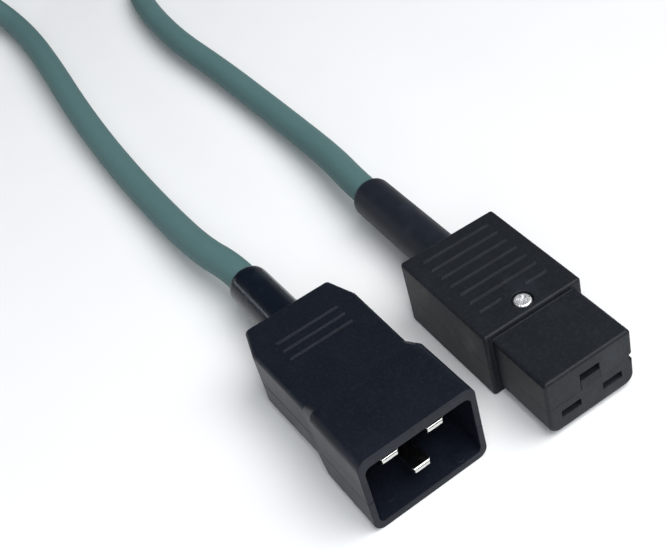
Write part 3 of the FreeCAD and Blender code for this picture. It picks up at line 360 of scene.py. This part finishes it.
FINISHES = {
    moulded_plastic("c19_housing", (0.0086, 0.0105, 0.0135), 0.46, 0.34, 1.0):
        ["c19_upper_shell", "c19_lower_shell", "c19_clamp_bar"],
    moulded_plastic("c20_housing", (0.0052, 0.0070, 0.0118), 0.4, 0.3, 0.8):
        ["c20_upper_shell", "c20_lower_shell", "c20_clamp_bar"],
    moulded_plastic("insulating_plate", (0.0070, 0.0085, 0.0115), 0.5, 0.3, 0.5):
        ["c19_insulator", "c20_pin_carrier"],
    rubber("boot_rubber", (0.0078, 0.0102, 0.0158), 0.46, 0.25): ["c19_boot"],
    rubber("plug_boot_rubber", (0.0032, 0.0054, 0.0104), 0.17, 0.3): ["c20_boot"],
    sheath("grey_green_sheath", (0.080, 0.150, 0.152)):
        ["c19_sheath_end", "c20_sheath_end", "connector_cord", "coiled_cord", "plug_cord"],
    bright_metal("nickel_plate", (0.74, 0.73, 0.70), 0.12, tarnish=0.12, relief=0.0015):
        ["c20_line_pin", "c20_neutral_pin", "c20_earth_pin", "c19_housing_nut"],
    bright_metal("tinned_brass", (0.62, 0.52, 0.34), 0.3):
        ["c19_line_contact", "c19_neutral_contact", "c19_earth_contact"],
    bright_metal("zinc_plated_screw", (0.74, 0.75, 0.76), 0.3, (0.28, 0.28, 0.28), 0.5, 0.05):
        ["c19_terminal_screws", "c19_clamp_screws", "c20_terminal_screws", "c20_clamp_screws",
         "c20_housing_screws"],
    bright_metal("worn_screw_head", (0.93, 0.94, 0.95), 0.4, (0.34, 0.34, 0.34), 0.85, 0.14):
        ["c19_housing_screw"],
    woven_strap("woven_strap", (0.012, 0.013, 0.015)): ["coil_tie"],
    core_skin("brown_core", (0.13, 0.045, 0.018)): ["c19_line_core", "c20_line_core"],
    core_skin("blue_core", (0.03, 0.11, 0.4)): ["c19_neutral_core", "c20_neutral_core"],
    core_skin("green_yellow_core", (0.16, 0.34, 0.04)): ["c19_earth_core", "c20_earth_core"],
}

for finished, names in FINISHES.items():
    for name in names:
        nodes[name].data.materials.clear()
        nodes[name].data.materials.append(finished)


def finish_of(name):
    return nodes[name].data.materials[0]


# ---------------------------------------------------------------- rounded edges

SHARP_ANGLE = math.radians(50)
SAME_SIDE = math.cos(SHARP_ANGLE)
FLAT_ANGLE = math.radians(0.4)
SAME_CORNER = 0.0005 * MM
STRAY_LIMIT = 0.3 * MM
FACING = 0.99
RIM_MARGIN, TOP_MARGIN = 0.1 * MM, 0.01 * MM
CUT_MARGIN = 0.002 * MM

EDGE_WIDTH, BOOT_EDGE_WIDTH = 0.2 * MM, 0.15 * MM
PIN_EDGE_WIDTH, SCREW_EDGE_WIDTH = 0.06 * MM, 0.04 * MM
C19_JOINT_WIDTH, C20_JOINT_WIDTH = 0.06 * MM, 0.2 * MM
# heights between which the shells meet, for the connector's stepped joint and the plug's plain one
C19_JOINT, C20_JOINT = (8.0, 14.5), (9.0, 12.5)
UPWARDS, DOWNWARDS = 1, -1
BOOT_DOME, BOOT_FLAT_RADIUS, BOOT_CUTS = 2.3 * MM, 5.3 * MM, (1.0, 0.8, 0.6, 0.4, 0.2)
SCREW_HEAD_RADIUS, SCREW_DOME, SCREW_DOME_SEGMENTS = 2.45 * MM, 0.55 * MM, 4
MARKS = [(-9.4, 4.9, 2.0), (9.6, 2.3, 2.0), (-8.1, 13.2, 2.0)]
MARK_RADIUS, MARK_HEIGHT, MARK_SIDES = 1.5 * MM, 0.16 * MM, 32


def merged(name):
    """A closed copy of a solid, with its flat faces whole."""
    shape = bmesh.new()
    shape.from_mesh(nodes[name].data)
    bmesh.ops.remove_doubles(shape, verts=shape.verts, dist=SAME_CORNER)
    bmesh.ops.dissolve_limit(shape, angle_limit=FLAT_ANGLE, verts=shape.verts, edges=shape.edges)
    return shape


def sharp_edges(shape):
    return [edge for edge in shape.edges
            if len(edge.link_faces) == 2 and edge.calc_face_angle() > SHARP_ANGLE]


def bevelled(shape, edges, width, segments=2):
    """Rounds the edges and gives the new faces."""
    if not edges:
        return []
    made = bmesh.ops.bevel(shape, geom=edges, offset=width, offset_type="OFFSET",
                           segments=segments, profile=0.5, affect="EDGES", material=-1,
                           clamp_overlap=False)
    return made["faces"]


def corner_normals(shape):
    """At each corner, the mean of the faces on its side, the wide ones counting most."""
    area = {face: face.calc_area() for face in shape.faces}
    normals = []
    for face in shape.faces:
        for corner in face.verts:
            total = Vector((0.0, 0.0, 0.0))
            for near in corner.link_faces:
                if face.normal.dot(near.normal) > SAME_SIDE:
                    total += near.normal * area[near]
            normals.append(total.normalized() if total.length > 0 else face.normal)
    return normals


def mark_middle(layer, faces, value):
    """Writes the value on the corners wholly among these faces, and 0 round them."""
    among = set(faces)
    for corner in {corner for face in faces for corner in face.verts}:
        corner[layer] = value if among.issuperset(corner.link_faces) else 0.0


def dome_end(shape, end, along):
    """Rounds off a boot's end; along points out of it."""
    for share in BOOT_CUTS:
        everything = shape.verts[:] + shape.edges[:] + shape.faces[:]
        bmesh.ops.bisect_plane(shape, geom=everything, dist=CUT_MARGIN, plane_no=along,
                               plane_co=end - along * BOOT_DOME * share)
    for corner in shape.verts:
        height = (corner.co - end).dot(along)
        out = corner.co - end - along * height
        share = height / BOOT_DOME + 1
        if share > 0 and out.length > BOOT_FLAT_RADIUS:
            kept = math.sqrt(max(1 - share * share, 0.0))
            radius = BOOT_FLAT_RADIUS + (out.length - BOOT_FLAT_RADIUS) * kept
            corner.co = end + along * height + out.normalized() * radius


def keep_near(shape, skin):
    """Brings back the few corners that rounding throws off the solid where edges run together."""
    for corner in shape.verts:
        place, _, _, distance = skin.find_nearest(corner.co)
        if distance > STRAY_LIMIT:
            corner.co = place


def rounded(name, width, special=None, reshape=None):
    """Stands a copy with rounded edges in a solid's place.

    special picks edges and gives their width, segments and value of the edge field.
    """
    shape = merged(name)
    if reshape:
        reshape(shape)
    skin = BVHTree.FromBMesh(shape)
    layer = shape.verts.layers.float.new(EDGE_FIELD)
    if special:
        chosen, special_width, segments, value = special
        picked = [edge for edge in sharp_edges(shape) if chosen(edge)]
        mark_middle(layer, bevelled(shape, picked, special_width, segments), value)
    mark_middle(layer, bevelled(shape, sharp_edges(shape), width), 1.0)
    keep_near(shape, skin)
    bmesh.ops.recalc_face_normals(shape, faces=shape.faces)
    shape.normal_update()
    for face in shape.faces:
        face.smooth = True
    piece = linked_mesh(name + "_rounded", shape, finish_of(name), corner_normals(shape))
    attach(piece, "root")
    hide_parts(name)


def joint_edges(heights, facing, width):
    """Picks the edges where a shell that looks up or down meets the other one."""
    low, high = heights

    def chosen(edge):
        levels = [corner.co.z for corner in edge.verts]
        return (low * MM < min(levels) and max(levels) < high * MM
                and any(face.normal.z * facing > FACING for face in edge.link_faces))
    return chosen, width, 2, -1.0


def rim_edges(name):
    """Picks the edge round the top of a screw's head."""
    low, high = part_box(name)
    middle = ((low[0] + high[0]) / 2, (low[1] + high[1]) / 2)

    def chosen(edge):
        return all(corner.co.z > high[2] - TOP_MARGIN
                   and math.dist(corner.co.xy, middle) > SCREW_HEAD_RADIUS - RIM_MARGIN
                   for corner in edge.verts)
    return chosen, SCREW_DOME, SCREW_DOME_SEGMENTS, 1.0


def rounded_boot(name, leaves, yaw):
    """Domes the end of a boot, which the cord leaves at that point in that direction."""
    along = Vector((-math.sin(yaw), math.cos(yaw), 0.0))
    end = Vector(leaves) * MM
    end += along * max((corner.co - end).dot(along) for corner in nodes[name].data.vertices)
    rounded(name, BOOT_EDGE_WIDTH, reshape=lambda shape: dome_end(shape, end, along))


def ejector_marks(name):
    """Low round marks on the floor of the plug's hood."""
    shape = bmesh.new()
    turn = Matrix.Rotation(PLUG_YAW, 3, "Z")
    for x, y, z in MARKS:
        place = (Vector(PLUG_PLACE) + turn @ Vector((x, y, z))) * MM
        made = bmesh.ops.create_circle(
            shape, cap_ends=True, segments=MARK_SIDES, radius=MARK_RADIUS,
            matrix=Matrix.Translation(place - Vector((0, 0, MARK_HEIGHT))))
        face = made["verts"][0].link_faces[0]
        top = bmesh.ops.extrude_face_region(shape, geom=[face])["geom"]
        bmesh.ops.translate(shape, verts=[v for v in top if isinstance(v, bmesh.types.BMVert)],
                            vec=(0, 0, 2 * MARK_HEIGHT))
    bmesh.ops.recalc_face_normals(shape, faces=shape.faces)
    bevelled(shape, sharp_edges(shape), MARK_HEIGHT * 0.8)
    piece = linked_mesh(name, shape, finish_of("c20_lower_shell"))
    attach(piece, "root")


for shell, heights, facing, joint_width in (
        ("c19_upper_shell", C19_JOINT, DOWNWARDS, C19_JOINT_WIDTH),
        ("c19_lower_shell", C19_JOINT, UPWARDS, C19_JOINT_WIDTH),
        ("c20_upper_shell", C20_JOINT, DOWNWARDS, C20_JOINT_WIDTH),
        ("c20_lower_shell", C20_JOINT, UPWARDS, C20_JOINT_WIDTH)):
    rounded(shell, EDGE_WIDTH, joint_edges(heights, facing, joint_width))
rounded_boot("c19_boot", CONNECTOR_EXIT, 0.0)
rounded_boot("c20_boot", PLUG_EXIT, PLUG_YAW)
for pin in ("c20_line_pin", "c20_neutral_pin", "c20_earth_pin"):
    rounded(pin, PIN_EDGE_WIDTH)
rounded("c19_housing_screw", SCREW_EDGE_WIDTH, rim_edges("c19_housing_screw"))
ejector_marks("c20_ejector_marks")


# ---------------------------------------------------------------- the cord

CORD_DIAMETER = 9.0 * MM
CONNECTOR_ROUTE = [CONNECTOR_EXIT, (0, 61.1, 9.99), (1.7, 76, 8.9), (2.2, 97, 7.5),
                   (2.2, 124, 6.3), (0.8, 158, 6.9), (-2.6, 197, 7.9), (2.0, 244, 6.2),
                   (15.5, 269.5, 5.2), (30.2, 292.5, 4.9), (39.75, 316, 5.5), (39.75, 339, 5.5)]
PLUG_ROUTE = [PLUG_EXIT, (-46.799, 51.95, 10.6), (-49.9, 68, 9.2), (-50.7, 100, 6.7),
              (-50.9, 137, 6.2), (-49.7, 174, 7.4), (-46.6, 212, 8.4), (-44.6, 244, 7.0),
              (-45.2, 272.5, 6.2), (-53.2, 296.3, 14.9), (-60.2, 316, 22.6), (-60.2, 339, 22.6)]
COIL_CENTRE = (-12.5, 372.0)
POINTS_PER_TURN = 16
COIL_TURNS, BUNDLED_TURNS, TWISTED_TURNS = 4.5, 4, 3
RING_RADIUS = 47.7
LOW_TURN, TOP_TURN = 5.5, 22.6
TURN_PITCH = 9.1
TIE_LIFT = 1.0
# radius and height of the fourth turn's last points, as it swings out and over the bundle
CROSSING_START = 57
CROSSING = [(52.5, 14.7), (53.3, 14.8), (54.3, 15.6), (56.1, 17.3), (57.9, 19.4), (58.6, 21.5),
            (57.2, 23.4), (53.0, 24.2), (49.3, 23.9), (47.9, 23.2)]
# heights of the last points, where the cord leaves over the turns below it
LEAVING = [23.1, 23.6, 24.1]
CORD_SIDES, CORD_STEPS, CORD_ORDER = 8, 8, 3


def eased(share):
    """Goes from 0 to 1 with the share, slowly at both ends."""
    share = min(max(share, 0.0), 1.0)
    return share * share * (3 - 2 * share)


def coil_route():
    """Four turns, two by two, that twist a quarter turn on one side, and half a turn on top."""
    step = FULL_TURN / POINTS_PER_TURN
    reach = TURN_PITCH / math.sqrt(2)
    points = []
    count = round(COIL_TURNS * POINTS_PER_TURN) + 1
    for i in range(count):
        turn = max((i - 0.5) / POINTS_PER_TURN, 0.0)
        lap = int(turn)
        twist = eased(2 * (turn - lap) - 1) if lap < TWISTED_TURNS else 0.0
        if turn < BUNDLED_TURNS:
            centre = LOW_TURN + reach * math.sin(math.pi / 4 + math.pi / 2 * twist)
            around = -math.pi / 4 - math.pi / 2 * (lap + twist)
            radius = RING_RADIUS + reach * math.cos(around)
            height = centre + reach * math.sin(around)
        else:
            radius, height = RING_RADIUS, TOP_TURN
        if 0 <= i - CROSSING_START < len(CROSSING):
            radius, height = CROSSING[i - CROSSING_START]
        if i >= count - len(LEAVING):
            height = LEAVING[i - count]
        angle = (i - 0.5) * step
        height -= TIE_LIFT / 2 * (1 - math.sin(angle))
        out = radius / math.cos(step / 2)
        points.append((COIL_CENTRE[0] + out * math.cos(angle),
                       COIL_CENTRE[1] + out * math.sin(angle), height))
    return points


def make_cord():
    points = CONNECTOR_ROUTE + coil_route() + PLUG_ROUTE[::-1]
    curve = bpy.data.curves.new("cord", "CURVE")
    curve.dimensions = "3D"
    # the points carry the radius, so that the curve's own box has the cord's thickness
    curve.bevel_depth = 1.0
    curve.bevel_resolution = CORD_SIDES
    curve.resolution_u = CORD_STEPS
    spline = curve.splines.new("NURBS")
    spline.points.add(len(points) - 1)
    for point, place in zip(spline.points, points):
        point.co = (*(Vector(place) * MM), 1.0)
        point.radius = CORD_DIAMETER / 2
    spline.order_u = CORD_ORDER
    spline.use_endpoint_u = True
    cord = linked("cord", curve)
    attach(cord, "root")
    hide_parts("connector_cord", "coiled_cord", "plug_cord")
    curve.materials.append(finish_of("connector_cord"))
    on_it = [shape for shape in bpy.context.scene.objects if shape.name.startswith("c20_")]
    on_it = sorted(on_it + [nodes["coil_tie"]], key=lambda shape: shape.name)


make_cord()


# ---------------------------------------------------------------- floor and light

FLOOR_REACH = 6.0
FLOOR_DARK, FLOOR_LIGHT = (0.79, 0.795, 0.80), (0.82, 0.825, 0.83)
# the room's brightness by height: sine of the elevation, light
ROOM = [(0.0, (0.50, 0.53, 0.57)), (0.14, (0.26, 0.28, 0.31)), (0.32, (0.07, 0.078, 0.092)),
        (0.75, (0.07, 0.077, 0.088)), (1.0, (0.30, 0.31, 0.32))]
# name, place, what it points at, watts, width, height, colour
LIGHTS = [
    ("overhead_front", (0.38, -0.5, 1.2), (0.0, 0.1, 0.0), 24.0, 1.3, 1.1, (1.0, 1.0, 1.0)),
    ("front_fill", (-0.25, -0.55, 0.5), (-0.02, -0.01, 0.01), 2.7, 0.4, 0.4, (0.95, 0.98, 1.0)),
    ("left_strip", (-0.85, 0.7, 0.32), (-0.03, 0.02, 0.01), 1.2, 0.9, 0.06, (0.93, 0.97, 1.0)),
]


def make_floor():
    finish = Finish("pale_floor", roughness=0.6)
    finish.put(Base_Color=finish.mix(finish.noise(30.0), FLOOR_DARK, FLOOR_LIGHT))
    shape = bmesh.new()
    bmesh.ops.create_grid(shape, x_segments=1, y_segments=1, size=FLOOR_REACH)
    linked_mesh("floor", shape, finish.material)


def make_light(name, place, aim, power, width, height, colour):
    data = bpy.data.lights.new(name, "AREA")
    data.shape, data.size, data.size_y = "RECTANGLE", width, height
    data.energy, data.color = power, colour
    light = linked(name, data)
    light.location = place
    light.rotation_euler = (Vector(aim) - Vector(place)).to_track_quat("-Z", "Y").to_euler()


def make_world():
    world = bpy.data.worlds.new("studio")
    world.use_nodes = True
    tree = world.node_tree
    way = tree.nodes.new("ShaderNodeTexCoord")
    height = tree.nodes.new("ShaderNodeSeparateXYZ")
    room = tree.nodes.new("ShaderNodeValToRGB")
    stops = room.color_ramp.elements
    while len(stops) < len(ROOM):
        stops.new(1.0)
    for stop, (position, colour) in zip(stops, ROOM):
        stop.position, stop.color = position, (*colour, 1.0)
    tree.links.new(way.outputs["Generated"], height.inputs[0])
    tree.links.new(height.outputs["Z"], room.inputs[0])
    tree.links.new(room.outputs["Color"], tree.nodes["Background"].inputs["Color"])
    bpy.context.scene.world = world


make_floor()
make_world()
for light in LIGHTS:
    make_light(*light)
bpy.context.scene.view_settings.view_transform = "Standard"


# ---------------------------------------------------------------- closing

bpy.context.view_layer.update()
